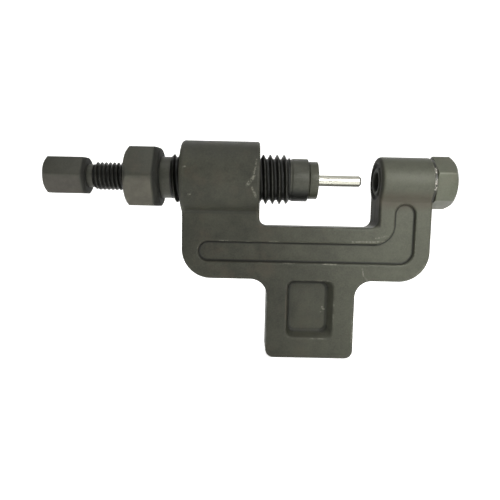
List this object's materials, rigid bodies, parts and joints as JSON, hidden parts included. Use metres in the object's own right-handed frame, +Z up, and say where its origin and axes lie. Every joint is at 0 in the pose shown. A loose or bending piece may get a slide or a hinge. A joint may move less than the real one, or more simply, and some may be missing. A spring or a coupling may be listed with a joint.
{
  "type": "chain breaker tool",
  "caption": "Screw-type chain breaker: forged C frame, hollow pressure bolt with a sprung extraction pin and push bolt, and a hollow adjuster bolt.",
  "frame": {"origin": "on the screw axis, at the mouth of the adjuster bolt's through hole, level with the inner face of the adjuster boss, in the plate's middle plane", "axes": "+X along the screw axis from the push bolt towards the adjuster, +Z up with the clamping tab at the bottom, +Y out of the back face of the plate"},
  "size_m": [0.1473, 0.027, 0.0786],
  "materials": {
    "frame": "forged, dark grey-olive phosphate, lightly worn",
    "pressure_bolt": "turned, blackened, bright on worn crests",
    "pin_guide": "turned and hardened, olive temper tint",
    "guide_snap_ring": "spring steel",
    "extraction_pin": "ground and hardened, bright",
    "return_spring": "spring steel wire",
    "push_bolt": "blackened",
    "adjuster_bolt": "blackened, worn lighter on the hexagon",
    "adjuster_washer": "bright steel"
  },
  "bodies": {
    "frame": {"frame": "frame"},
    "guide": {"pin_guide": "pin_guide", "guide_snap_ring": "guide_snap_ring"},
    "pressure_bolt": {"pressure_bolt": "pressure_bolt", "return_spring": "return_spring"},
    "extraction_pin": {"extraction_pin": "extraction_pin"},
    "push_bolt": {"push_bolt": "push_bolt"},
    "adjuster_washer": {"adjuster_washer": "adjuster_washer"},
    "adjuster_bolt": {"adjuster_bolt": "adjuster_bolt"}
  },
  "joints": [
    {"name": "pressure_bolt_advance", "type": "slide", "parent": "frame", "child": "guide", "axis": [1, 0, 0], "range_m": [-0.02, 0.0075]},
    {"name": "pressure_bolt_turn", "type": "hinge", "parent": "guide", "child": "pressure_bolt", "pos_m": [-0.057, 0, 0], "axis": [1, 0, 0], "range_deg": [-2880, 1080]},
    {"name": "pin_push", "type": "slide", "parent": "pressure_bolt", "child": "extraction_pin", "axis": [1, 0, 0], "range_m": [-0.0135, 0.0144], "deforming": ["return_spring"]},
    {"name": "push_bolt_turn", "type": "hinge", "parent": "extraction_pin", "child": "push_bolt", "pos_m": [-0.095, 0, 0], "axis": [1, 0, 0], "range_deg": [-3240, 3456]},
    {"name": "adjuster_advance", "type": "slide", "parent": "frame", "child": "adjuster_washer", "axis": [1, 0, 0], "range_m": [0, 0.012]},
    {"name": "adjuster_turn", "type": "hinge", "parent": "adjuster_washer", "child": "adjuster_bolt", "pos_m": [0.012, 0, 0], "axis": [1, 0, 0], "range_deg": [0, 2880]}
  ],
  "couplings": [
    {"joint": "pressure_bolt_turn", "follows": "pressure_bolt_advance", "rad_per_m": 2513.3},
    {"joint": "push_bolt_turn", "follows": "pin_push", "rad_per_m": 4188.8},
    {"joint": "adjuster_turn", "follows": "adjuster_advance", "rad_per_m": 4188.8}
  ]
}
